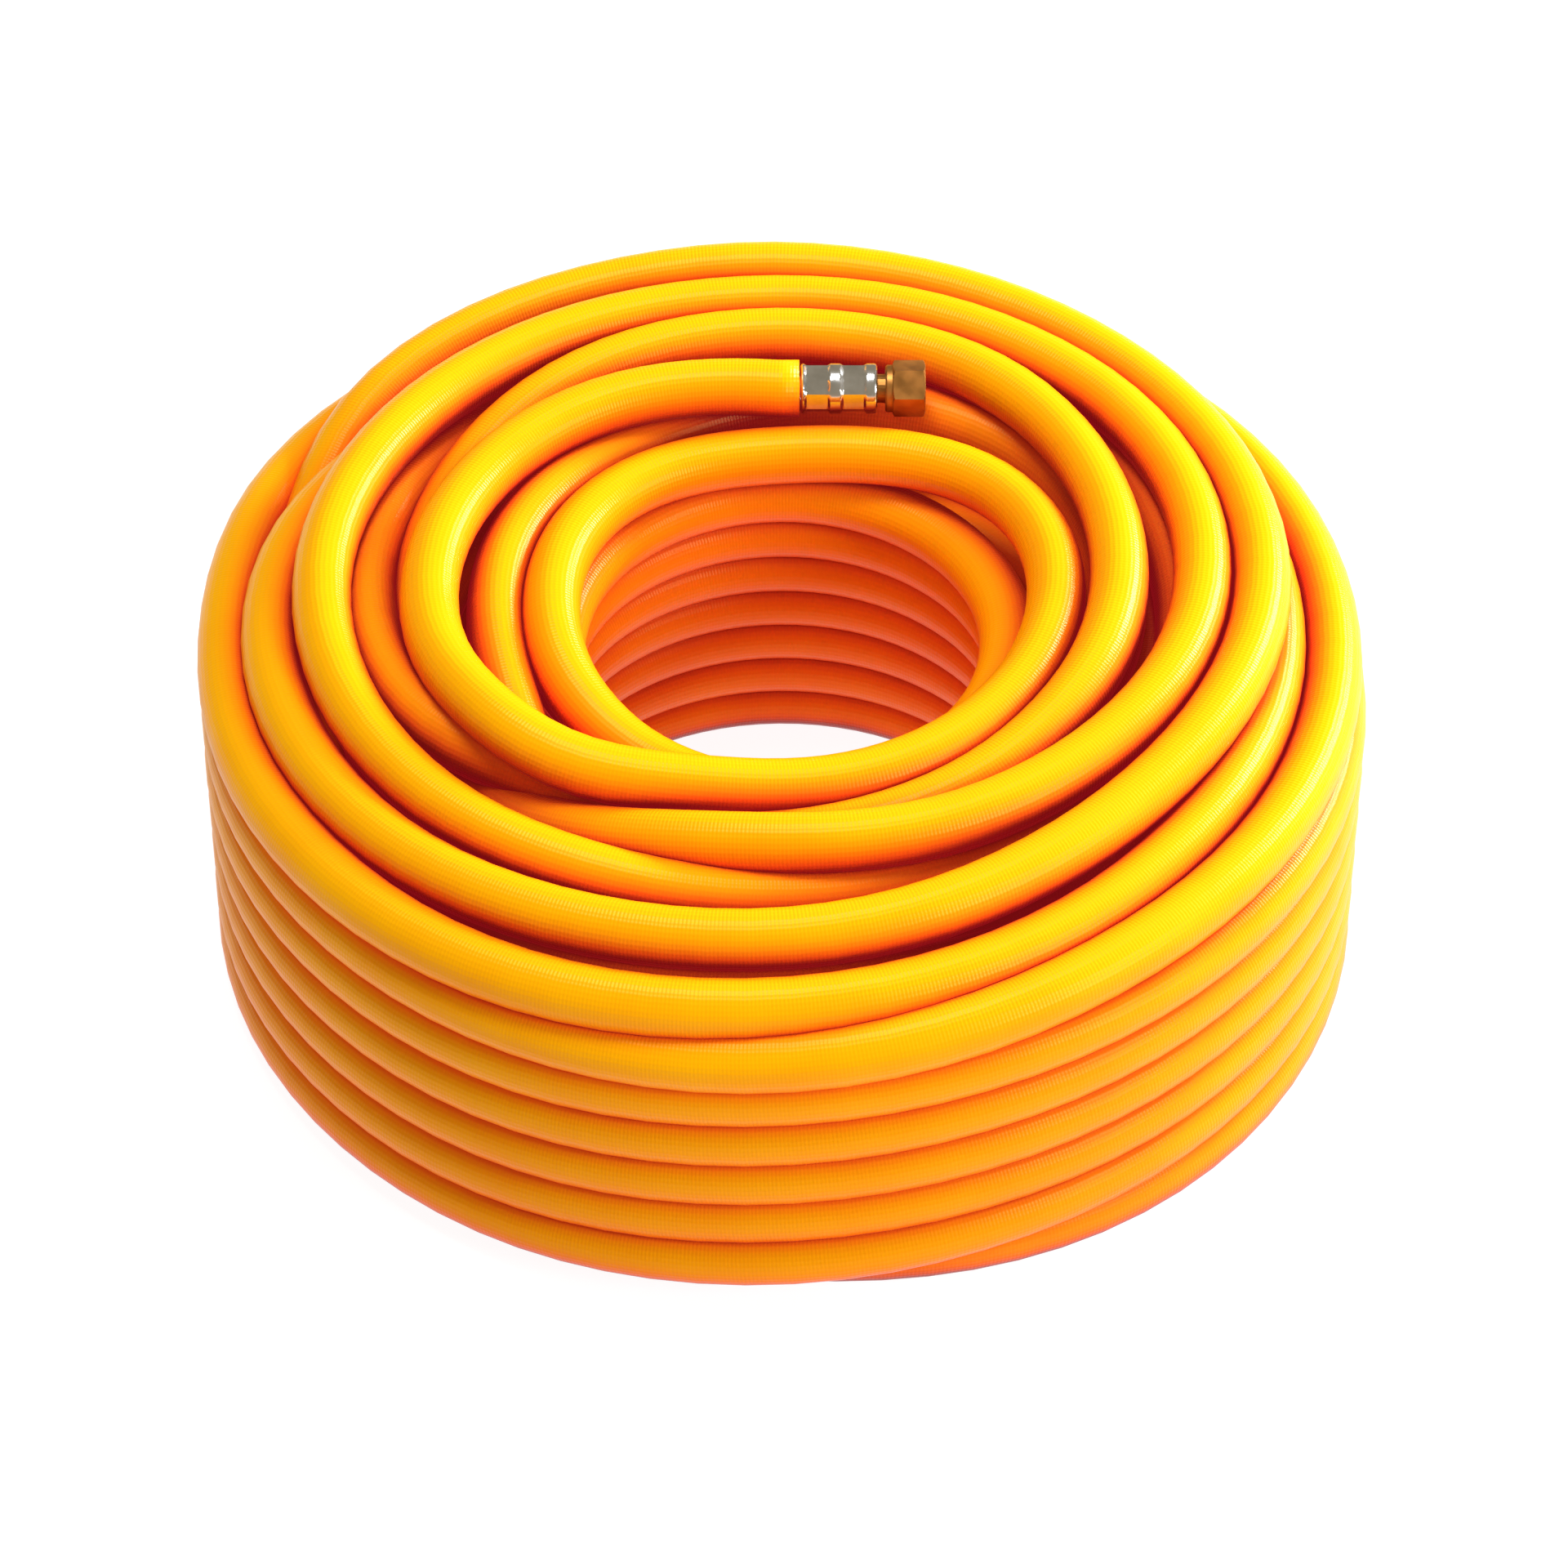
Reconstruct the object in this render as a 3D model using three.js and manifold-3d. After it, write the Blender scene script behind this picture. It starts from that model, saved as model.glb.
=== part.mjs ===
// A coil of high-pressure spray hose with a crimped swivel fitting on each end.
// Millimetres, +Z up. The origin is the middle of the coil's flat underside.
// The visible, inner end lies on top of the coil at its back (+Y) and points to +X.
// The outer end lies in a gap in the coil's shoulder, at the back, and points to -X.

import * as THREE from 'three';
import { mergeVertices } from 'three/addons/utils/BufferGeometryUtils.js';
import Module from 'manifold-3d';

// ---- hose ----
const HOSE_DIAMETER = 14;
const HOSE_RADIUS = HOSE_DIAMETER / 2;
const GAP = 0.3; // kept between pieces that touch

// ---- coil: the outline of the wound turns, in three rings that lie on each other ----
const COIL_OUTER_RADIUS = 139;
const HOLE_RADIUS_AT_FLOOR = 58;
const HOLE_RADIUS_AT_TOP = 45;
const HOLE_TOP_HEIGHT = 94; // where the hole's wall starts to round over
const WALL_HEIGHT = 87; // the straight wall of even rows ends here
const CROWN_HEIGHT = 109; // the loose turns on top, at their highest
const CROWN_PEAK_RADIUS = 98;
const CROWN_OUTER_RADIUS = 116.5;
const CROWN_EDGE_HEIGHT = 106;
const SHOULDER_OUTLINE = [[138.5, 87], [137, 92], [131, 97], [116.5, 101]];
const COIL_SEGMENTS = 60;
const CURVE_STEPS = 6;

// ---- the two fittings, each in its own frame: x = 0 at the hose's end face, +x away from it ----
const FERRULE_LENGTH = 18.6;
const FERRULE_RADIUS = 6;
const FERRULE_GROOVE_RADIUS = 5.6;
const FERRULE_BORE_RADIUS = 5;
const FERRULE_LIP_LENGTH = 1;
const FERRULE_LIP_RADIUS = 3.9;
const FERRULE_EDGE = 0.7; // rounding at its rims and beside its groove
const GROOVE_HALF_WIDTH = 0.9;

const CRIMPED_HOSE_OUTER_RADIUS = 4.7;
const CRIMPED_HOSE_INNER_RADIUS = 4.3;

const STEM_BORE_RADIUS = 2.6;
const STEM_ROOT_RADIUS = 3.4; // between the barbs
const STEM_BARB_RADIUS = 4;
const STEM_NECK_RADIUS = 3.5;
const STEM_BARBS = 4;
const STEM_BARB_PITCH = 4;
const STEM_START = 0.6;
const COLLAR_START = 23.2;
const COLLAR_LENGTH = 1;
const COLLAR_RADIUS = 4.4;
const NOSE_LENGTH = 0.6;

const NUT_START = 20.9;
const NUT_LENGTH = 9.7;
const NUT_ACROSS_FLATS = 12;
const NUT_LIP_LENGTH = 1.6;
const NUT_LIP_BORE_RADIUS = 3.9;
const NUT_THREAD_RADIUS = 4.7;
const NUT_MOUTH_RADIUS = 5.2;
const NUT_CHAMFER_DROP = 0.9; // how far the chamfer reaches along a corner
const NUT_CHAMFER_END_RADIUS = 5.8;

const WASHER_START = 26.7;
const WASHER_THICKNESS = 1;
const WASHER_OUTER_RADIUS = 4.4;
const WASHER_INNER_RADIUS = 2.7;

const ROUND_SEGMENTS = 28;

// ---- where the fittings lie: the hose's end face and the way the fitting points ----
const INNER_END = { at: [4, 64, 109], direction: [1, 0, 0] };
const OUTER_END = { at: [13, 125.5, 95.5], direction: [-1, 0, 0] };
const SEAT_RADIUS = 9.2; // room for the inner end's turning nut in the coil's top
const SHOULDER_GAP_FROM = [-48, 116.4, 80]; // the gap in the shoulder, which holds the outer end
const SHOULDER_GAP_TO = [66, 150, 130];
const SEAT_LENGTH = 37;
const SEAT_OVERRUN = 3;

// ---- the loose stretches of hose, from each fitting back to where the turns take it up ----
const INNER_LEAD = [
  [4, 64, 109],
  [-8, 64, 109],
  [-22, 63.5, 108.5],
  [-39, 60, 107.5],
  [-56, 52, 106.5],
  [-69, 39, 105.5],
  [-78, 22, 104.5],
  [-83, 2, 103.5],
  [-83, -17, 102],
];
const OUTER_LEAD = [
  [13, 125.5, 95.5],
  [22, 125.5, 95.5],
  [36, 121.5, 95.5],
  [53, 114.5, 95.2],
  [70, 105, 95],
];
const TUBE_SIDES = 12;
const STEP_LENGTH = 7; // along the loose stretches, half a hose diameter

const COLOURS = {
  hose: { color: 0xffb000, roughness: 0.3, metalness: 0 },
  chrome: { color: 0xd9dcdf, roughness: 0.18, metalness: 1 },
  brass: { color: 0xb08a45, roughness: 0.35, metalness: 1 },
  seal: { color: 0x2a2a2a, roughness: 0.8, metalness: 0 },
};

// ---- solids ----
const wasm = await Module();
wasm.setup();

function toSolid(geometry) {
  const bare = geometry.index ? geometry.toNonIndexed() : geometry.clone();
  bare.deleteAttribute('normal');
  bare.deleteAttribute('uv');
  const merged = mergeVertices(bare, 1e-4);
  return new wasm.Manifold(new wasm.Mesh({
    numProp: 3,
    vertProperties: new Float32Array(merged.attributes.position.array),
    triVerts: new Uint32Array(merged.index.array),
  }));
}

function toGeometry(solid) {
  const mesh = solid.getMesh();
  const geometry = new THREE.BufferGeometry();
  geometry.setAttribute('position', new THREE.BufferAttribute(new Float32Array(mesh.vertProperties), 3));
  geometry.setIndex(new THREE.BufferAttribute(new Uint32Array(mesh.triVerts), 1));
  geometry.computeVertexNormals();
  return geometry;
}

// A closed outline of [along the axis, radius] pairs, turned about the local x axis.
function turned(outline, segments = ROUND_SEGMENTS) {
  const points = outline.map(([along, radius]) => new THREE.Vector2(radius, along));
  points.push(points[0].clone());
  const geometry = new THREE.LatheGeometry(points, segments);
  geometry.rotateZ(-Math.PI / 2);
  return geometry;
}

// ---- the coil ----
function ring(points) {
  const outline = points.map(([radius, height]) => new THREE.Vector2(radius, height));
  outline.push(outline[0].clone());
  const geometry = new THREE.LatheGeometry(outline, COIL_SEGMENTS);
  geometry.rotateX(Math.PI / 2);
  return toSolid(geometry);
}

function holeRadius(height) {
  const share = height / HOLE_TOP_HEIGHT;
  return HOLE_RADIUS_AT_FLOOR + (HOLE_RADIUS_AT_TOP - HOLE_RADIUS_AT_FLOOR) * share;
}

function wallRing() {
  const top = WALL_HEIGHT - GAP;
  return ring([
    [HOLE_RADIUS_AT_FLOOR, 0],
    [COIL_OUTER_RADIUS, 0],
    [COIL_OUTER_RADIUS, top],
    [holeRadius(top), top],
  ]);
}

function crownRing() {
  const edge = CROWN_OUTER_RADIUS - GAP;
  const rimHeight = HOLE_TOP_HEIGHT + 7;
  const top = new THREE.Path();
  top.moveTo(edge, CROWN_EDGE_HEIGHT);
  top.quadraticCurveTo(edge - 6, CROWN_HEIGHT, CROWN_PEAK_RADIUS, CROWN_HEIGHT);
  top.bezierCurveTo(
    CROWN_PEAK_RADIUS - 18, CROWN_HEIGHT,
    HOLE_RADIUS_AT_TOP + 24, rimHeight + 1,
    HOLE_RADIUS_AT_TOP + 8, rimHeight,
  );
  top.quadraticCurveTo(HOLE_RADIUS_AT_TOP, rimHeight, HOLE_RADIUS_AT_TOP, HOLE_TOP_HEIGHT);
  return ring([
    [holeRadius(WALL_HEIGHT), WALL_HEIGHT],
    [edge, WALL_HEIGHT],
    ...top.getPoints(CURVE_STEPS).map((point) => [point.x, point.y]),
  ]);
}

function shoulderRing() {
  return ring([[CROWN_OUTER_RADIUS, WALL_HEIGHT], ...SHOULDER_OUTLINE]);
}

// A tube of the given radius along hand-placed points.
function tubeAlong(route, radius) {
  const curve = new THREE.CatmullRomCurve3(route.map((p) => new THREE.Vector3(...p)), false, 'centripetal');
  const section = new THREE.Shape();
  for (let side = 0; side < TUBE_SIDES; side += 1) {
    const angle = (2 * Math.PI * side) / TUBE_SIDES;
    const corner = [radius * Math.cos(angle), radius * Math.sin(angle)];
    if (side === 0) {
      section.moveTo(...corner);
    } else {
      section.lineTo(...corner);
    }
  }
  section.closePath();
  const steps = Math.round(curve.getLength() / STEP_LENGTH);
  return new THREE.ExtrudeGeometry(section, { steps, bevelEnabled: false, extrudePath: curve });
}

// ---- the fittings' pieces, in the fitting's own frame ----
function ferrule() {
  const start = GAP;
  const end = GAP + FERRULE_LENGTH;
  const middle = (start + end) / 2;
  return toSolid(turned([
    [start, FERRULE_BORE_RADIUS],
    [start, FERRULE_RADIUS - FERRULE_EDGE],
    [start + FERRULE_EDGE, FERRULE_RADIUS],
    [middle - GROOVE_HALF_WIDTH - FERRULE_EDGE, FERRULE_RADIUS],
    [middle - GROOVE_HALF_WIDTH, FERRULE_GROOVE_RADIUS],
    [middle + GROOVE_HALF_WIDTH, FERRULE_GROOVE_RADIUS],
    [middle + GROOVE_HALF_WIDTH + FERRULE_EDGE, FERRULE_RADIUS],
    [end - FERRULE_EDGE, FERRULE_RADIUS],
    [end, FERRULE_RADIUS - FERRULE_EDGE],
    [end, FERRULE_LIP_RADIUS],
    [end - FERRULE_LIP_LENGTH, FERRULE_LIP_RADIUS],
    [end - FERRULE_LIP_LENGTH, FERRULE_BORE_RADIUS],
  ]));
}

// The end of the hose, squeezed between the ferrule and the barbs.
function crimpedHose() {
  const end = FERRULE_LENGTH - FERRULE_LIP_LENGTH;
  return toSolid(turned([
    [-1, CRIMPED_HOSE_INNER_RADIUS],
    [-1, CRIMPED_HOSE_OUTER_RADIUS],
    [end, CRIMPED_HOSE_OUTER_RADIUS],
    [end, CRIMPED_HOSE_INNER_RADIUS],
  ]));
}

// The barbed stem: barbs, neck, collar that the nut pulls on, and a nose with a bore through it.
function stem() {
  const outline = [[STEM_START, STEM_BORE_RADIUS], [STEM_START, STEM_ROOT_RADIUS]];
  for (let barb = 0; barb < STEM_BARBS; barb += 1) {
    const at = STEM_START + barb * STEM_BARB_PITCH;
    outline.push([at + STEM_BARB_PITCH, STEM_BARB_RADIUS]);
    if (barb < STEM_BARBS - 1) {
      outline.push([at + STEM_BARB_PITCH, STEM_ROOT_RADIUS]);
    }
  }
  const collarEnd = COLLAR_START + COLLAR_LENGTH;
  outline.push([STEM_START + STEM_BARBS * STEM_BARB_PITCH + GAP, STEM_NECK_RADIUS]);
  outline.push([COLLAR_START, STEM_NECK_RADIUS]);
  outline.push([COLLAR_START, COLLAR_RADIUS]);
  outline.push([collarEnd, COLLAR_RADIUS]);
  outline.push([collarEnd + NOSE_LENGTH, STEM_NECK_RADIUS]);
  outline.push([collarEnd + NOSE_LENGTH, STEM_BORE_RADIUS]);
  return toSolid(turned(outline));
}

function nut() {
  const cornerRadius = NUT_ACROSS_FLATS / Math.sqrt(3);
  const end = NUT_START + NUT_LENGTH;
  const hexagon = new THREE.Shape();
  for (let corner = 0; corner < 6; corner += 1) {
    const angle = (Math.PI / 3) * corner + Math.PI / 12;
    const point = [cornerRadius * Math.cos(angle), cornerRadius * Math.sin(angle)];
    if (corner === 0) {
      hexagon.moveTo(...point);
    } else {
      hexagon.lineTo(...point);
    }
  }
  hexagon.closePath();
  const bar = new THREE.ExtrudeGeometry(hexagon, { depth: NUT_LENGTH, bevelEnabled: false });
  bar.rotateY(Math.PI / 2);
  bar.translate(NUT_START, 0, 0);
  const chamfers = turned([
    [NUT_START, 0],
    [NUT_START, NUT_CHAMFER_END_RADIUS],
    [NUT_START + NUT_CHAMFER_DROP, cornerRadius + GAP],
    [end - NUT_CHAMFER_DROP, cornerRadius + GAP],
    [end, NUT_CHAMFER_END_RADIUS],
    [end, 0],
  ]);
  const bore = turned([
    [NUT_START - 1, 0],
    [NUT_START - 1, NUT_LIP_BORE_RADIUS],
    [NUT_START + NUT_LIP_LENGTH, NUT_LIP_BORE_RADIUS],
    [NUT_START + NUT_LIP_LENGTH, NUT_THREAD_RADIUS],
    [end - (NUT_MOUTH_RADIUS - NUT_THREAD_RADIUS), NUT_THREAD_RADIUS],
    [end, NUT_MOUTH_RADIUS],
    [end + 1, NUT_MOUTH_RADIUS],
    [end + 1, 0],
  ]);
  return toSolid(bar).intersect(toSolid(chamfers)).subtract(toSolid(bore));
}

function washer() {
  const end = WASHER_START + WASHER_THICKNESS;
  return toSolid(turned([
    [WASHER_START, WASHER_INNER_RADIUS],
    [WASHER_START, WASHER_OUTER_RADIUS],
    [end, WASHER_OUTER_RADIUS],
    [end, WASHER_INNER_RADIUS],
  ]));
}

// Room in the coil's top for the inner fitting, as a solid to cut away.
function seat() {
  return toSolid(turned([
    [-SEAT_OVERRUN, 0],
    [-SEAT_OVERRUN, SEAT_RADIUS],
    [SEAT_LENGTH, SEAT_RADIUS],
    [SEAT_LENGTH, 0],
  ]));
}

// The gap in the shoulder, as a block to cut away.
function shoulderGap() {
  const size = SHOULDER_GAP_TO.map((end, axis) => end - SHOULDER_GAP_FROM[axis]);
  const block = new THREE.BoxGeometry(...size);
  block.translate(...SHOULDER_GAP_TO.map((end, axis) => (end + SHOULDER_GAP_FROM[axis]) / 2));
  return toSolid(block);
}

// ---- placing ----
function endFrame(end) {
  const along = new THREE.Vector3(...end.direction);
  const up = new THREE.Vector3(0, 0, 1);
  const across = new THREE.Vector3().crossVectors(up, along);
  return new THREE.Matrix4().makeBasis(along, across, up).setPosition(...end.at);
}

const group = new THREE.Group();

function addMesh(parent, name, geometry, finish) {
  const material = new THREE.MeshStandardMaterial(COLOURS[finish]);
  const mesh = new THREE.Mesh(geometry, material);
  mesh.name = name;
  parent.add(mesh);
}

function addFitting(prefix, end) {
  const fitting = new THREE.Group();
  fitting.applyMatrix4(endFrame(end));
  addMesh(fitting, `${prefix}_ferrule`, toGeometry(ferrule()), 'chrome');
  addMesh(fitting, `${prefix}_hose_stem`, toGeometry(stem()), 'brass');
  addMesh(fitting, `${prefix}_swivel_nut`, toGeometry(nut()), 'brass');
  addMesh(fitting, `${prefix}_sealing_washer`, toGeometry(washer()), 'seal');
  group.add(fitting);
}

function placed(solid, end) {
  return toSolid(toGeometry(solid).applyMatrix4(endFrame(end)));
}

function leadHose(route, end) {
  return toSolid(tubeAlong(route, HOSE_RADIUS)).add(placed(crimpedHose(), end));
}

function withRoomForEnds(solid) {
  return solid
    .subtract(shoulderGap())
    .subtract(placed(seat(), INNER_END))
    .subtract(toSolid(tubeAlong(INNER_LEAD, HOSE_RADIUS + GAP)))
    .subtract(toSolid(tubeAlong(OUTER_LEAD, HOSE_RADIUS + GAP)));
}

addMesh(group, 'hose_coil', toGeometry(wallRing()), 'hose');
addMesh(group, 'hose_coil_crown', toGeometry(withRoomForEnds(crownRing())), 'hose');
addMesh(group, 'hose_coil_shoulder', toGeometry(withRoomForEnds(shoulderRing())), 'hose');
addMesh(group, 'inner_end_hose', toGeometry(leadHose(INNER_LEAD, INNER_END)), 'hose');
addMesh(group, 'outer_end_hose', toGeometry(leadHose(OUTER_LEAD, OUTER_END)), 'hose');
addFitting('inner_end', INNER_END);
addFitting('outer_end', OUTER_END);

export default group;
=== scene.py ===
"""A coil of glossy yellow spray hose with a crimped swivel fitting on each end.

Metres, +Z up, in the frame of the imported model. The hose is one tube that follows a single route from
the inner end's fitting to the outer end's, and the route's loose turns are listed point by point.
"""
import math

import bpy
import numpy as np
from mathutils import Matrix, Vector


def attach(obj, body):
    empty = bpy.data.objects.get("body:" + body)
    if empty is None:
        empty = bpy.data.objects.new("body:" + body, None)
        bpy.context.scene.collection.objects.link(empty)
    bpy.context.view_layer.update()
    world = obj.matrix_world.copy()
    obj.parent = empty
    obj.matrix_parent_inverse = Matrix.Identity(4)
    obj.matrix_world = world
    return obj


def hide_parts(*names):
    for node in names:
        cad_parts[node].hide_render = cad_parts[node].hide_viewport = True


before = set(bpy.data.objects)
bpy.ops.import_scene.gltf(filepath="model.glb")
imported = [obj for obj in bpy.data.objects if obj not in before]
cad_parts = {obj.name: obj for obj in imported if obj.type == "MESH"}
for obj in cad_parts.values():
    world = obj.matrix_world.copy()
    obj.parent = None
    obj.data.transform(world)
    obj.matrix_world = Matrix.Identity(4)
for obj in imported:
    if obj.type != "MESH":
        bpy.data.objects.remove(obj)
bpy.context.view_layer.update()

MM = 0.001

# ---- camera: lens and sensor in millimetres, place in metres, degrees up from straight down ----
LENS, SENSOR_WIDTH = 129.94, 36
CAMERA_AT = (0.0003, -1.0310, 0.9466)
CAMERA_TILT = 48.6

# ---- hose ----
HOSE_DIAMETER = 14.0
STEPS_PER_TURN = 80
STEP = 360 / STEPS_PER_TURN
TUBE_SIDES = 24
HOSE_WAY = "hose_way"  # the hose's own UV map: along it and round it, both in circumferences
YARNS = 18  # the braid's yarns in each direction, round the hose
YARN_SLOPE = 1.4  # how far a yarn goes round for each circumference along, at a braid's usual angle
INNER_END = (4.0, 64.0, 109.0)
OUTER_END = (13.0, 125.5, 95.5)
STRAIGHT_STEPS = 2  # the hose runs straight out of the inner ferrule for this many steps
LAST_STRAIGHT = 9.0  # and straight into the outer ferrule over this length

# how firmly a stretch keeps its place while the turns settle against each other
LOOSE = 0.02
WALL = 0.15
SHOWN = 0.3
LEAST_HOLD = 0.15  # added to every stretch's hold when two turns share out a push

TOUCH_SHOWN = 13.4  # closest that two centre lines come, where both are seen
TOUCH_HIDDEN = 12.3  # and inside the coil, where the turns press flat on each other
SETTLE_ROUNDS = 260
PUSH = 0.45  # the part of an overlap that one round takes away
PULL = 0.12  # the part of the way back to its place that a firmly held stretch moves in a round
TURN_SMOOTHING = 0.12
ROUTE_SMOOTHING = 0.25
ROUTE_SMOOTHINGS = 3
END_SMOOTHINGS = 4
WALL_SLACK = 0.3  # how far a turn may stand out of the outer wall
OFF_THE_COIL = 1e4  # where the points that fill up the last turn are kept, out of every turn's way
TINY_GAP, TINY_SHARE = 1e-6, 1e-9  # they keep a division off zero

FITTING_SLICES = (83, 101)  # the outer fitting lies across the slices between these angles, in degrees
FITTING_TOUCH = 14.4  # closest that a centre line comes to its axis, so that its nut can turn

# ---- the loose turns on top: (angle in degrees, distance from the axis, height), in millimetres ----
INNER_LEAD = [
    (86.4, 64, 109), (97, 64.5, 109), (110, 68, 108.5), (125, 73, 107.5), (140, 77.5, 106.5),
    (155, 80, 105.5), (170, 82, 104.5), (185, 84, 103), (200, 86.5, 100), (210, 87, 97),
    (220, 84, 94.5), (235, 78, 91.5), (250, 71, 90.5), (265, 66, 90.5), (285, 65, 91),
    (305, 64, 92), (325, 63.5, 94), (345, 64, 96), (365, 65.5, 98), (385, 66, 99), (400, 64.5, 99),
    (415, 59, 99), (430, 54, 98.5), (450, 50.5, 98), (475, 53, 97.5), (495, 56, 97),
    (515, 56.5, 96), (535, 55.5, 95), (550, 56.5, 93.5), (562, 57, 91), (575, 54.5, 87),
]
UNDER_FITTING = [
    (45, 88, 90), (55, 85, 93.5), (70, 79.5, 95), (90, 76, 95.5), (110, 68, 96), (130, 68, 97),
    (150, 68, 96), (165, 67, 95.5), (180, 67, 93.5), (195, 67, 90.5), (205, 66, 85),
]
MIDDLE_TURN = [
    (140, 104, 91), (155, 101, 93), (170, 100, 93.5), (185, 98.5, 93.5), (200, 93.5, 92.5),
    (215, 85.5, 90.5), (235, 77, 89.5), (255, 76.5, 89.5), (275, 76.5, 90), (300, 75.5, 91),
    (320, 75, 94), (335, 78.5, 98), (350, 79, 100.5), (365, 79.5, 101.5), (385, 83, 103),
    (400, 86, 104), (420, 91.5, 105), (435, 93, 105.5), (450, 90, 106), (470, 90, 106),
    (485, 90, 105), (495, 90.5, 102.5), (505, 91.5, 97),
]
CROWN_TURN = [
    (215, 83.5, 81.5), (235, 83, 86), (250, 84, 90), (270, 84.5, 92), (290, 86, 93),
    (305, 89, 94.5), (325, 91.5, 96.5), (340, 96.5, 98), (360, 99.5, 100), (375, 102.5, 101.5),
    (390, 104.5, 103), (410, 103.5, 105), (435, 103, 106), (455, 103, 106), (475, 104.5, 106),
    (495, 107.5, 104.5), (515, 108.5, 103.5), (530, 108.5, 102.5), (542, 109, 101),
    (555, 109.5, 98), (570, 107, 94), (585, 105.5, 92), (600, 101, 91), (615, 95.5, 88.5),
    (630, 89.5, 84.5),
]
CLIMB = [(330, 92, 85), (390, 100, 86), (450, 110, 87)]  # out of sight, from the crown to the shoulder
SHOULDER_TURN = [
    (160, 120.5, 90.5), (175, 122.5, 92), (190, 123, 89.5), (205, 121.5, 88), (225, 119, 87),
    (245, 116, 88.5), (260, 114.5, 90), (275, 113, 91), (285, 111, 91.5), (297, 108, 92.5),
    (312, 106, 94), (330, 107, 95.5), (345, 112, 97.5), (360, 114.5, 99), (375, 115.5, 100.5),
    (395, 116, 102), (410, 116, 103.5), (425, 116, 105), (440, 116, 106), (455, 117, 105.5),
    (468, 121, 103.5), (480, 126, 101), (490, 128, 99), (500, 129, 97), (512, 127, 91.5),
    (520, 124, 86), (528, 121.5, 81), (540, 120, 79), (556, 119, 79.5),
]
OUTER_LEAD = [
    (145, 136, 87.5), (160, 135, 86.5), (180, 132.5, 84.5), (195, 131.5, 83), (210, 132, 83),
    (225, 133, 83), (240, 133.5, 83), (255, 132.5, 83), (270, 131, 83), (285, 127, 83.5),
    (297, 122.5, 84), (315, 119, 85), (330, 117.5, 85.5), (345, 117, 86), (365, 117.5, 86.5),
    (385, 118.5, 88), (405, 120, 89), (425, 125, 92), (441.9, 127, 94.8),
]

# the outer wall: (angle, distance of the hose's centre line from the axis)
WALL_BULGE = [
    (0, 132), (20, 134.3), (40, 134.5), (65, 133), (90, 131), (120, 134), (145, 136), (158, 135),
    (170, 133), (180, 132), (225, 132.5), (250, 135), (270, 136.8), (290, 136.8), (315, 136),
    (340, 134), (360, 132),
]
FIRST_ROW = [(-95, 127, 7), (-85, 131, 7), (-70, 134, 7)]
TOP_ROW = [
    (-60, 133.5, 84), (-25, 131.5, 83), (0, 130, 82), (20, 133, 82), (40, 134.5, 82.5),
    (60, 132.5, 81.5), (90, 130.5, 81.5), (120, 132.5, 82),
]

# the columns of turns: how far from the axis each is at its foot and at its top, from the hole outwards
INNER_WALL = (69, 51.5)
SECOND_COLUMN = (78.5, 67.5)
THIRD_COLUMN = (92, 84)
FOURTH_COLUMN = (105.5, 100)
FIFTH_COLUMN = (119, 118)
ROWS = 7
COLUMN_POINTS = 5  # route points in each turn of a column
ROW_RISE = 12.55
BACK_RISE = 0.45  # the rows' extra rise at the back, and what they lack at the front

WALL_ROWS = 6  # even rows in the outer wall
WALL_ROW_RISE = 12.8
WALL_ANGLES = range(-60, 241, 20)


def place(points, turns, hold):
    """A table's points after a number of whole turns."""
    return [(angle + 360 * turns, radius, height, hold) for angle, radius, height in points]


def row_height(row, angle):
    """The rows stand a little taller at the back of the coil than at its front."""
    return HOSE_DIAMETER / 2 + row * (ROW_RISE + BACK_RISE * math.sin(math.radians(angle)))


def column(foot_and_top, rows, start, change, hold):
    """A column of turns, one row a turn. It changes row over the last `change` degrees of each turn."""
    foot, top = foot_and_top
    points = []
    for number, row in enumerate(rows):
        radius = foot + (top - foot) * row / ROWS
        for step in range(COLUMN_POINTS):
            angle = start + 360 * number + (360 - change) * step / (COLUMN_POINTS - 1)
            points.append((angle, radius, row_height(row, angle), hold))
    return points


def wall_radius(angle):
    """The outer wall bulges towards the front right."""
    return np.interp(np.mod(angle, 360), *zip(*WALL_BULGE))


def outer_column(first_turn):
    """The outer wall: six rows that each rise by one at the front right, and the row on top of them."""
    points = []
    for row in range(WALL_ROWS):
        height = HOSE_DIAMETER / 2 + WALL_ROW_RISE * row
        for angle in WALL_ANGLES:
            points.append((360 * (first_turn + row + 1) + angle, wall_radius(angle), height, WALL))
    foot = place(FIRST_ROW, first_turn + 1, WALL)
    top = place(TOP_ROW, first_turn + WALL_ROWS + 1, WALL)
    return foot + points + top


def whole_route():
    """The hose from its inner to its outer end, as rows of (angle, radius, height, hold).

    The last points of two columns are left out, so that the next stretch can start there.
    """
    up = list(range(ROWS))
    down = up[::-1]
    route = place(INNER_LEAD, 0, SHOWN)
    route += column(INNER_WALL, down, start=590, change=70, hold=WALL)
    route += column(SECOND_COLUMN, up, start=3100, change=60, hold=LOOSE)[:-3]
    route += place(UNDER_FITTING, 15, SHOWN)
    route += column(THIRD_COLUMN, down, start=5640, change=60, hold=LOOSE)
    route += column(FOURTH_COLUMN, up, start=8160, change=60, hold=LOOSE)[:-1]
    route += place(MIDDLE_TURN, 29, SHOWN)
    route += place(CROWN_TURN, 30, SHOWN)
    route += place(CLIMB, 31, LOOSE)
    route += place(SHOULDER_TURN, 32, SHOWN)
    route += column(FIFTH_COLUMN, down, start=12090, change=60, hold=LOOSE)
    route += outer_column(40)
    route += place(OUTER_LEAD, 47, SHOWN)
    return np.array(route)


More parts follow.
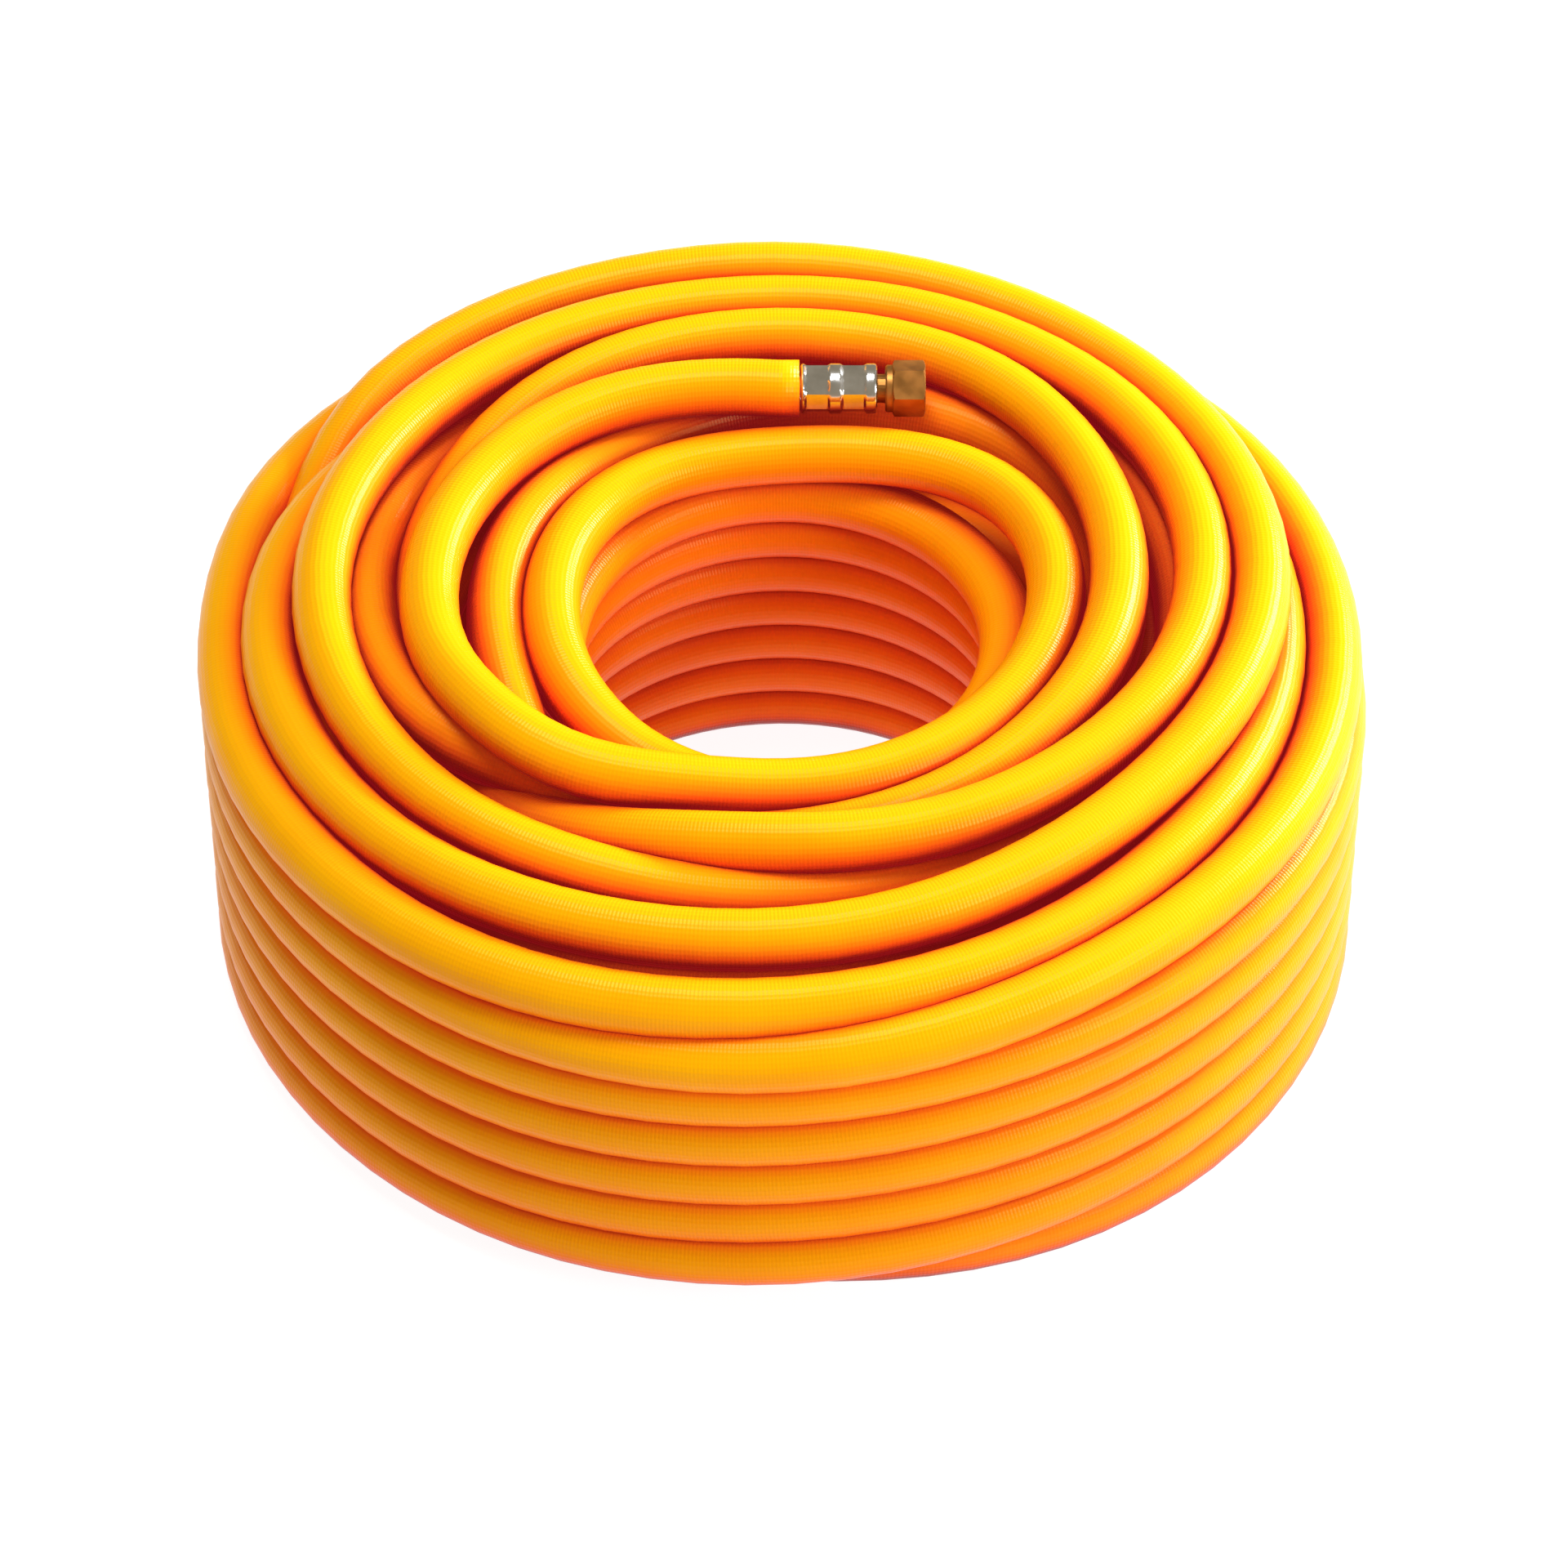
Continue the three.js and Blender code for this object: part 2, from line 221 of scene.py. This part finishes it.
def smoothed(values, amount):
    values = values.copy()
    values[1:-1] += amount * (values[:-2] - 2 * values[1:-1] + values[2:])
    return values


def aims():
    """The route at every step of the hose: the angles, where each step should lie, and how firmly."""
    route = whole_route()
    first = math.degrees(math.atan2(INNER_END[1], INNER_END[0]))
    count = int((route[-1, 0] - first) / STEP) + 1
    angle = first + STEP * np.arange(count)
    radius, height, hold = (np.interp(angle, route[:, 0], route[:, part]) for part in (1, 2, 3))
    for _ in range(ROUTE_SMOOTHINGS):
        radius = smoothed(radius, ROUTE_SMOOTHING)
        height = smoothed(height, ROUTE_SMOOTHING)
    return angle, radius, height, hold


def by_slice(values, filler):
    """A row for each turn and a column for each slice, where the filler fills up the last turn."""
    return np.concatenate([values, filler]).reshape(-1, STEPS_PER_TURN)


def pushed(radius, height, share, touch, away):
    """How far each step moves away from the turns that it overlaps, across and up."""
    across = by_slice(radius, away)
    up = by_slice(height, away)
    across = across[:, None] - across[None]
    up = up[:, None] - up[None]
    apart = np.hypot(across, up) + TINY_GAP
    overlap = np.clip(touch - apart, 0, None)
    same = np.arange(len(overlap))
    overlap[same, same] = 0
    move = PUSH * overlap * share / apart
    count = len(radius)
    return (move * across).sum(axis=1).reshape(-1)[:count], (move * up).sum(axis=1).reshape(-1)[:count]


def keep_off_fitting(angle, radius, height):
    """Move the steps beside the outer fitting off its axis."""
    slice_angle = np.mod(angle, 360)
    beside = (slice_angle > FITTING_SLICES[0]) & (slice_angle < FITTING_SLICES[1])
    across = radius[beside] - OUTER_END[1] / np.sin(np.radians(slice_angle[beside]))
    up = height[beside] - OUTER_END[2]
    apart = np.hypot(across, up)
    move = np.clip(FITTING_TOUCH - apart, 0, None) / apart
    radius[beside] += move * across
    height[beside] += move * up


def settled_turns():
    """Let the turns push each other apart until they only press together.

    It works in every vertical slice through the coil, where each turn is one point.
    """
    angle, aim_radius, aim_height, hold = aims()
    spare = -len(angle) % STEPS_PER_TURN
    away = np.full(spare, OFF_THE_COIL)
    looseness = by_slice(1 / (LEAST_HOLD + hold), np.zeros(spare))
    share = looseness[:, None] / (looseness[:, None] + looseness[None] + TINY_SHARE)
    shown = by_slice(hold > (WALL + SHOWN) / 2, np.zeros(spare, bool))
    touch = np.where(shown[:, None] & shown[None], TOUCH_SHOWN, TOUCH_HIDDEN)
    limit = wall_radius(angle) + WALL_SLACK

    radius, height = aim_radius, aim_height
    for _ in range(SETTLE_ROUNDS):
        across, up = pushed(radius, height, share, touch, away)
        radius = radius + across
        height = height + up
        radius += PULL * hold * (aim_radius - radius)
        height += PULL * hold * (aim_height - height)
        height = smoothed(np.maximum(height, HOSE_DIAMETER / 2), TURN_SMOOTHING)
        radius = smoothed(np.minimum(radius, limit), TURN_SMOOTHING)
        keep_off_fitting(angle, radius, height)
    return np.radians(angle), radius, height


def hose_path():
    """The hose's centre line in metres, straight where it leaves each ferrule."""
    angle, radius, height = settled_turns()
    radius[:STRAIGHT_STEPS] = INNER_END[1] / np.sin(angle[:STRAIGHT_STEPS])
    height[:STRAIGHT_STEPS] = INNER_END[2]
    points = np.column_stack([radius * np.cos(angle), radius * np.sin(angle), height])
    points[-2] = np.add(OUTER_END, (LAST_STRAIGHT, 0, 0))
    points[-1] = OUTER_END
    for _ in range(END_SMOOTHINGS):
        inner = points[STRAIGHT_STEPS - 1:-1]
        inner[1:-1] += ROUTE_SMOOTHING * (inner[:-2] - 2 * inner[1:-1] + inner[2:])
    return points * MM


def add_mesh(name, vertices, faces, smooth=True):
    mesh = bpy.data.meshes.new(name)
    mesh.from_pydata([tuple(v) for v in vertices], [], faces)
    mesh.polygons.foreach_set("use_smooth", [smooth] * len(mesh.polygons))
    mesh.update()
    piece = bpy.data.objects.new(name, mesh)
    bpy.context.scene.collection.objects.link(piece)
    return piece


def map_tube(piece, path, radius, sides):
    """A UV map that runs along the tube and round it. The two end faces have none."""
    steps = np.linalg.norm(np.diff(path, axis=0), axis=1)
    distance = np.concatenate([[0], np.cumsum(steps)]) / (2 * math.pi * radius)
    layer = piece.data.uv_layers.new(name=HOSE_WAY)
    for face in piece.data.polygons[:-2]:
        ring, corner = divmod(face.index, sides)
        here, there = distance[ring], distance[ring + 1]
        before, after = corner / sides, (corner + 1) / sides
        spots = ((here, before), (here, after), (there, after), (there, before))
        for loop, spot in zip(face.loop_indices, spots):
            layer.data[loop].uv = spot


def tube(name, path, radius, sides):
    """A closed tube round a path that is nowhere upright."""
    along = np.gradient(path, axis=0)
    along /= np.linalg.norm(along, axis=1)[:, None]
    side = np.cross(along, (0, 0, 1))
    side /= np.linalg.norm(side, axis=1)[:, None]
    over = np.cross(side, along)
    turn = 2 * math.pi * np.arange(sides) / sides
    rings = path[:, None] + radius * (np.cos(turn)[None, :, None] * side[:, None]
                                      + np.sin(turn)[None, :, None] * over[:, None])
    faces = []
    for ring in range(len(path) - 1):
        for corner in range(sides):
            after = (corner + 1) % sides
            a, b = ring * sides, (ring + 1) * sides
            faces.append((a + corner, a + after, b + after, b + corner))
    faces.append(tuple(range(sides))[::-1])
    faces.append(tuple((len(path) - 1) * sides + corner for corner in range(sides)))
    piece = add_mesh(name, rings.reshape(-1, 3), faces)
    map_tube(piece, path, radius, sides)
    return piece


def add_camera():
    data = bpy.data.cameras.new("camera")
    data.sensor_width = SENSOR_WIDTH
    data.lens = LENS
    camera = bpy.data.objects.new("camera", data)
    camera.location = CAMERA_AT
    camera.rotation_euler = (math.radians(CAMERA_TILT), 0, 0)
    bpy.context.scene.collection.objects.link(camera)
    bpy.context.scene.camera = camera


add_camera()
path = hose_path()
hose = tube("hose", path, HOSE_DIAMETER / 2 * MM, TUBE_SIDES)
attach(hose, "hose")
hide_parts("hose_coil", "hose_coil_crown", "hose_coil_shoulder", "inner_end_hose", "outer_end_hose")


# ---- the fittings, each in its own frame: x = 0 at the hose's end face, in millimetres ----
FERRULE_START, FERRULE_END = 0.3, 18.9
FERRULE_RADIUS = 6.1
FERRULE_BORE = 5.0
FERRULE_LIP = (1.0, 3.9)  # length and radius
CRIMPS = ((1.0, 7.6), (9.9, 16.4))  # the two pressed cells, along the ferrule
CRIMP_FLAT = 5.35  # from the axis to each of a cell's flats
CRIMP_SIDES = 8
CRIMP_RAMP = 0.9
FERRULE_EDGE = 0.6  # how far its ends are rounded
FERRULE_STEP = 0.3  # between the rings of its outside
NUT_START, NUT_END = 20.9, 30.6
NUT_FLAT = 6.0  # half of its width across flats
NUT_SHOULDER = (1.7, 5.75)  # the round end on the hose side: length and radius
NUT_EDGE = 0.4  # chamfer of the round end
NUT_STEP = 0.05  # length over which the round end steps out to the hexagon
NUT_CHAMFER = 0.45  # slope of the corners' chamfers
NUT_CHAMFER_INSET = 0.1  # how far inside the flats the chamfers start
INNER_CHAMFER = 1.0  # length of the chamfers at the round end
MOUTH_CHAMFER = 0.6  # and at the mouth
CHAMFER_RINGS = 9
NUT_TURNED = 15.0  # degrees that the hexagon is turned about its axis
NUT_LIP = (1.6, 3.9)  # length and radius
NUT_MOUTH = 5.2  # radius
THREAD_ROOT, THREAD_CREST = 5.05, 4.65
THREAD_PITCH = 1.0
THREAD_STEPS = 8  # rings in each turn of the thread
THREAD_LEAD = 0.5  # plain bore before the thread and after it
THREAD_STOP = 0.6  # how far above the nut's floor the thread stops
ROUND_SIDES = 144
SHARP_ANGLE = 28  # degrees between two faces that meet in a hard edge


def end_matrix(at, toward):
    """A fitting's frame in the model: `toward` is 1 where it points along +X, and -1 along -X."""
    along = Vector((toward, 0, 0))
    up = Vector((0, 0, 1))
    across = up.cross(along)
    turn = Matrix((along, across, up)).transposed()
    return Matrix.Translation(Vector(at) * MM) @ turn.to_4x4() @ Matrix.Scale(MM, 4)


def round_shell(name, matrix, rings):
    """A closed shell through rings of (along, radius). A radius is one number, or one for each side."""
    angles = 2 * math.pi * np.arange(ROUND_SIDES) / ROUND_SIDES
    points = []
    for along, radius in rings:
        radius = np.broadcast_to(radius, ROUND_SIDES)
        for angle, reach in zip(angles, radius):
            points.append(matrix @ Vector((along, reach * math.cos(angle), reach * math.sin(angle))))
    faces = []
    for ring in range(len(rings)):
        a, b = ring * ROUND_SIDES, (ring + 1) % len(rings) * ROUND_SIDES
        for corner in range(ROUND_SIDES):
            after = (corner + 1) % ROUND_SIDES
            faces.append((a + corner, b + corner, b + after, a + after))
    piece = add_mesh(name, points, faces)
    piece.data.set_sharp_from_angle(angle=math.radians(SHARP_ANGLE))
    return piece


def flats(distance, sides, turned=0.0):
    """The reach of a regular polygon's outline, at each side of a round shell."""
    sector = 2 * math.pi / sides
    angle = 2 * math.pi * np.arange(ROUND_SIDES) / ROUND_SIDES - math.radians(turned)
    return distance / np.cos((angle + sector / 2) % sector - sector / 2)


def crimp_depth(along):
    """0 outside the pressed cells and 1 on their floors, with a smooth ramp between."""
    depth = 0
    for start, end in CRIMPS:
        depth = max(depth, np.clip(min(along - start, end - along) / CRIMP_RAMP, 0, 1))
    return depth * depth * (3 - 2 * depth)


def ferrule_rings():
    rings = []
    for along in np.arange(FERRULE_START, FERRULE_END + FERRULE_STEP / 2, FERRULE_STEP):
        edge = min(along - FERRULE_START, FERRULE_END - along)
        reach = FERRULE_RADIUS - FERRULE_EDGE * max(0, 1 - edge / FERRULE_EDGE) ** 2
        depth = crimp_depth(along)
        pressed = np.minimum(reach, flats(CRIMP_FLAT, CRIMP_SIDES))
        rings.append((along, reach + depth * (pressed - reach)))
    lip_length, lip_radius = FERRULE_LIP
    return rings + [(FERRULE_END, lip_radius), (FERRULE_END - lip_length, lip_radius),
                    (FERRULE_END - lip_length, FERRULE_BORE), (FERRULE_START, FERRULE_BORE)]


def thread_rings(floor):
    """The inside thread, from the mouth down to the nut's floor."""
    rings = []
    turn = np.arange(ROUND_SIDES) / ROUND_SIDES
    for along in np.arange(NUT_END - THREAD_LEAD, floor + THREAD_STOP, -THREAD_PITCH / THREAD_STEPS):
        phase = (along / THREAD_PITCH + turn) % 1
        wave = 2 * np.abs(phase - 0.5)
        rings.append((along, THREAD_CREST + (THREAD_ROOT - THREAD_CREST) * wave))
    return rings + [(floor + THREAD_LEAD, THREAD_CREST), (floor, THREAD_CREST)]


def nut_rings():
    hexagon = flats(NUT_FLAT, 6, NUT_TURNED)
    inset = NUT_FLAT - NUT_CHAMFER_INSET
    shoulder_length, shoulder_radius = NUT_SHOULDER
    shoulder = NUT_START + shoulder_length
    rings = [(NUT_START, shoulder_radius - NUT_EDGE), (NUT_START + NUT_EDGE, shoulder_radius)]
    rings.append((shoulder, shoulder_radius))
    for into in np.linspace(0, INNER_CHAMFER, CHAMFER_RINGS):
        rings.append((shoulder + NUT_STEP + into, np.minimum(hexagon, inset + into / NUT_CHAMFER)))
    for into in np.linspace(MOUTH_CHAMFER, 0, CHAMFER_RINGS):
        rings.append((NUT_END - into, np.minimum(hexagon, inset + into / NUT_CHAMFER)))
    rings.append((NUT_END, NUT_MOUTH))
    lip_length, lip_radius = NUT_LIP
    floor = NUT_START + lip_length
    return rings + thread_rings(floor) + [(floor, lip_radius), (NUT_START, lip_radius)]


# ---- materials ----
# the hose's painted light level is a sum of shares: painted top light on faces that point up, the same
# all over, painted light where a spot is open and painted shade where the turns close in, and detail
TOP_PAINTED_LIGHT_SHARE = 0.08
EVEN_SHARE = 0.13
OPEN_PAINTED_LIGHT = ((0.015, 0.46), (0.12, 0.33))  # (distance looked at in metres, share)
BRAID_SHARE = 0.012
MOTTLE_SHARE = 0.12
# the colour and the painted glow for each painted light level, from the painted shade of the gaps to
# the painted light of the open tops: (lightness, colour)
PAINTED_SHADE_COLOURS = [
    (0.32, (0.16, 0.004, 0.006)), (0.46, (0.66, 0.05, 0.008)), (0.62, (0.86, 0.16, 0.004)),
    (0.78, (0.94, 0.28, 0.002)), (0.92, (0.97, 0.37, 0.001)), (0.99, (0.97, 0.44, 0.001)),
]
PAINTED_GLOW_COLOURS = [
    (0.10, (0.17, 0.003, 0.006)), (0.25, (0.14, 0.003, 0.005)), (0.36, (0.06, 0.003, 0.002)),
    (0.50, (0.13, 0.012, 0.003)), (0.85, (0, 0, 0)),
]
CHROME = (0.80, 0.81, 0.83)
BRASS = (0.50, 0.22, 0.055)


def new_material(name):
    material = bpy.data.materials.new(name + "_finish")
    material.use_nodes = True
    return material, material.node_tree.nodes, material.node_tree.links


def ramp_node(nodes, stops):
    """A colour ramp through stops of (position, colour)."""
    ramp = nodes.new("ShaderNodeValToRGB")
    elements = ramp.color_ramp.elements
    while len(elements) < len(stops):
        elements.new(0.5)
    for element, (position, colour) in zip(elements, stops):
        element.position = position
        element.color = (*colour, 1)
    return ramp


def math_node(nodes, links, operation, first, second):
    """The output of a Math node, where each of its two values is a socket or a number."""
    node = nodes.new("ShaderNodeMath")
    node.operation = operation
    for socket, value in zip(node.inputs, (first, second)):
        if isinstance(value, float):
            socket.default_value = value
        else:
            links.new(value, socket)
    return node.outputs["Value"]


def braid_height(nodes, links):
    """Yarns that cross under the cover, as a height between -1 and 1."""
    way = nodes.new("ShaderNodeUVMap")
    way.uv_map = HOSE_WAY
    split = nodes.new("ShaderNodeSeparateXYZ")
    links.new(way.outputs["UV"], split.inputs["Vector"])
    along = math_node(nodes, links, "MULTIPLY", split.outputs["X"], YARN_SLOPE)
    yarns = []
    for direction in ("ADD", "SUBTRACT"):
        turned = math_node(nodes, links, direction, split.outputs["Y"], along)
        phase = math_node(nodes, links, "MULTIPLY", turned, 2 * math.pi * YARNS)
        yarns.append(math_node(nodes, links, "SINE", phase, 0.0))
    return math_node(nodes, links, "MULTIPLY", *yarns)


def mottle(nodes, links):
    """Soft patches where the cover is a little thicker or thinner."""
    coords = nodes.new("ShaderNodeTexCoord")
    noise = nodes.new("ShaderNodeTexNoise")
    noise.inputs["Scale"].default_value = 45
    noise.inputs["Detail"].default_value = 2
    links.new(coords.outputs["Object"], noise.inputs["Vector"])
    return math_node(nodes, links, "SUBTRACT", noise.outputs["Fac"], 0.5)


def painted_hose_light(nodes, links, details):
    """The painted light level of each spot: near 1 in the open and on top, and near 0 in the painted
    shade of the gaps.
    """
    geometry = nodes.new("ShaderNodeNewGeometry")
    normal = nodes.new("ShaderNodeSeparateXYZ")
    links.new(geometry.outputs["Normal"], normal.inputs["Vector"])
    # painted top light: faces that point up are painted lighter
    light = math_node(nodes, links, "MULTIPLY", normal.outputs["Z"], TOP_PAINTED_LIGHT_SHARE)
    light = math_node(nodes, links, "ADD", light, EVEN_SHARE)
    # painted shade: the ambient occlusion paints spots darker where other turns close in
    for distance, share in OPEN_PAINTED_LIGHT:
        occlusion = nodes.new("ShaderNodeAmbientOcclusion")
        occlusion.samples = 8
        occlusion.inputs["Distance"].default_value = distance
        painted_open_light = math_node(nodes, links, "MULTIPLY", occlusion.outputs["AO"], share)
        light = math_node(nodes, links, "ADD", light, painted_open_light)
    for detail, share in details:
        part = math_node(nodes, links, "MULTIPLY", detail, share)
        light = math_node(nodes, links, "ADD", light, part)
    return light


def hose_material():
    """Yellow-orange PVC with painted light and shade in its colour: painted yellow light in the open
    and on top, and painted red shade with a painted red glow where the turns close in.
    """
    material, nodes, links = new_material("hose_cover")
    shader = nodes["Principled BSDF"]
    shader.inputs["Roughness"].default_value = 0.3
    shader.inputs["IOR"].default_value = 1.25
    shader.inputs["Specular Tint"].default_value = (1.0, 0.85, 0.35, 1)
    # the emission is a painted red glow in the shaded gaps, not a lamp
    shader.inputs["Emission Strength"].default_value = 1.0
    braid = braid_height(nodes, links)
    details = ((braid, BRAID_SHARE), (mottle(nodes, links), MOTTLE_SHARE))
    light = painted_hose_light(nodes, links, details)
    # the base colour is painted shade and light, and the emission a painted glow, both picked by the
    # painted light level
    for stops, socket in ((PAINTED_SHADE_COLOURS, "Base Color"), (PAINTED_GLOW_COLOURS, "Emission Color")):
        ramp = ramp_node(nodes, stops)
        links.new(light, ramp.inputs["Fac"])
        links.new(ramp.outputs["Color"], shader.inputs[socket])
    bump = nodes.new("ShaderNodeBump")
    bump.inputs["Strength"].default_value = 0.3
    bump.inputs["Distance"].default_value = 0.00012
    links.new(braid, bump.inputs["Height"])
    links.new(bump.outputs["Normal"], shader.inputs["Normal"])
    return material


def floor_material():
    material, nodes, _ = new_material("floor")
    shader = nodes["Principled BSDF"]
    shader.inputs["Base Color"].default_value = (0.18, 0.18, 0.18, 1)
    shader.inputs["Roughness"].default_value = 0.9
    shader.inputs["Emission Color"].default_value = (1, 1, 1, 1)
    shader.inputs["Emission Strength"].default_value = 0.93
    return material


def metal_material(name, colour, roughness, wear):
    """Plated or bare metal, with a faint stain that is also a little rougher. `wear` is its depth."""
    material, nodes, links = new_material(name)
    shader = nodes["Principled BSDF"]
    shader.inputs["Metallic"].default_value = 1.0
    noise = nodes.new("ShaderNodeTexNoise")
    noise.inputs["Scale"].default_value = 180
    noise.inputs["Detail"].default_value = 3
    coords = nodes.new("ShaderNodeTexCoord")
    darker = tuple(channel * (1 - wear) for channel in colour)
    stain = ramp_node(nodes, [(0.35, darker), (0.65, colour)])
    rough = ramp_node(nodes, [(0.3, (roughness,) * 3), (0.7, (roughness * 1.5,) * 3)])
    links.new(coords.outputs["Object"], noise.inputs["Vector"])
    links.new(noise.outputs["Fac"], stain.inputs["Fac"])
    links.new(noise.outputs["Fac"], rough.inputs["Fac"])
    links.new(stain.outputs["Color"], shader.inputs["Base Color"])
    links.new(rough.outputs["Color"], shader.inputs["Roughness"])
    return material


def rubber_material():
    material, nodes, links = new_material("seal_rubber")
    shader = nodes["Principled BSDF"]
    shader.inputs["Roughness"].default_value = 0.8
    noise = nodes.new("ShaderNodeTexNoise")
    noise.inputs["Scale"].default_value = 400
    tone = ramp_node(nodes, [(0.3, (0.012, 0.012, 0.013)), (0.7, (0.03, 0.03, 0.03))])
    links.new(noise.outputs["Fac"], tone.inputs["Fac"])
    links.new(tone.outputs["Color"], shader.inputs["Base Color"])
    return material


def finish_with(piece, material):
    """Put one material on a piece, and take off what it had."""
    piece.data.materials.clear()
    piece.data.materials.append(material)


def add_fitting(end, matrix, chrome, brass, rubber):
    ferrule = round_shell(f"{end}_crimped_ferrule", matrix, ferrule_rings())
    nut = round_shell(f"{end}_threaded_nut", matrix, nut_rings())
    detailed = (
        (ferrule, "hose", "ferrule", chrome, "ferrule_chrome"),
        (nut, f"{end}_nut", "swivel_nut", brass, "fitting_brass"),
    )
    for piece, body, part, material, slot in detailed:
        finish_with(piece, material)
        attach(piece, body)
        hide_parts(f"{end}_{part}")
    stem, washer = (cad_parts[f"{end}_{part}"] for part in ("hose_stem", "sealing_washer"))
    finish_with(stem, brass)
    finish_with(washer, rubber)
    return [ferrule, nut, stem, washer]


finish_with(hose, hose_material())
chrome = metal_material("ferrule_chrome", CHROME, roughness=0.14, wear=0.15)
brass = metal_material("fitting_brass", BRASS, roughness=0.38, wear=0.25)
rubber = rubber_material()
fittings = add_fitting("inner_end", end_matrix(INNER_END, 1), chrome, brass, rubber)
fittings += add_fitting("outer_end", end_matrix(OUTER_END, -1), chrome, brass, rubber)


# ---- stage ----
FLOOR_REACH = 5.0  # metres from the middle to each side
# name, place and aim in metres, size in metres, power in watts
LIGHTS = (
    ("top", (-0.1, 0.1, 1.4), (0, 0, 0.1), (0.5, 0.4), 12.5),
    ("softbox", (1.15, 0.72, 0.64), (0, 0, 0.1), (0.5, 0.3), 34),
    ("front right", (1.1, -0.8, 0.7), (0, 0, 0.05), (0.4, 0.5), 13),
)


def add_floor():
    corners = [(x * FLOOR_REACH, y * FLOOR_REACH, 0) for x, y in ((-1, -1), (1, -1), (1, 1), (-1, 1))]
    floor = add_mesh("floor", corners, [(0, 1, 2, 3)], smooth=False)
    floor.data.materials.append(floor_material())


def add_light(name, place, aim, size, power):
    data = bpy.data.lights.new(name, "AREA")
    data.shape = "RECTANGLE"
    data.size, data.size_y = size
    data.energy = power
    light = bpy.data.objects.new(name, data)
    light.location = place
    light.rotation_euler = (Vector(aim) - Vector(place)).to_track_quat("-Z", "Y").to_euler()
    bpy.context.scene.collection.objects.link(light)


def add_world():
    world = bpy.data.worlds.new("studio")
    world.use_nodes = True
    background = world.node_tree.nodes["Background"]
    background.inputs["Color"].default_value = (1.0, 0.85, 0.6, 1)
    background.inputs["Strength"].default_value = 0.3
    bpy.context.scene.world = world


bpy.context.scene.view_settings.view_transform = "Standard"
add_floor()
add_world()
for light in LIGHTS:
    add_light(*light)
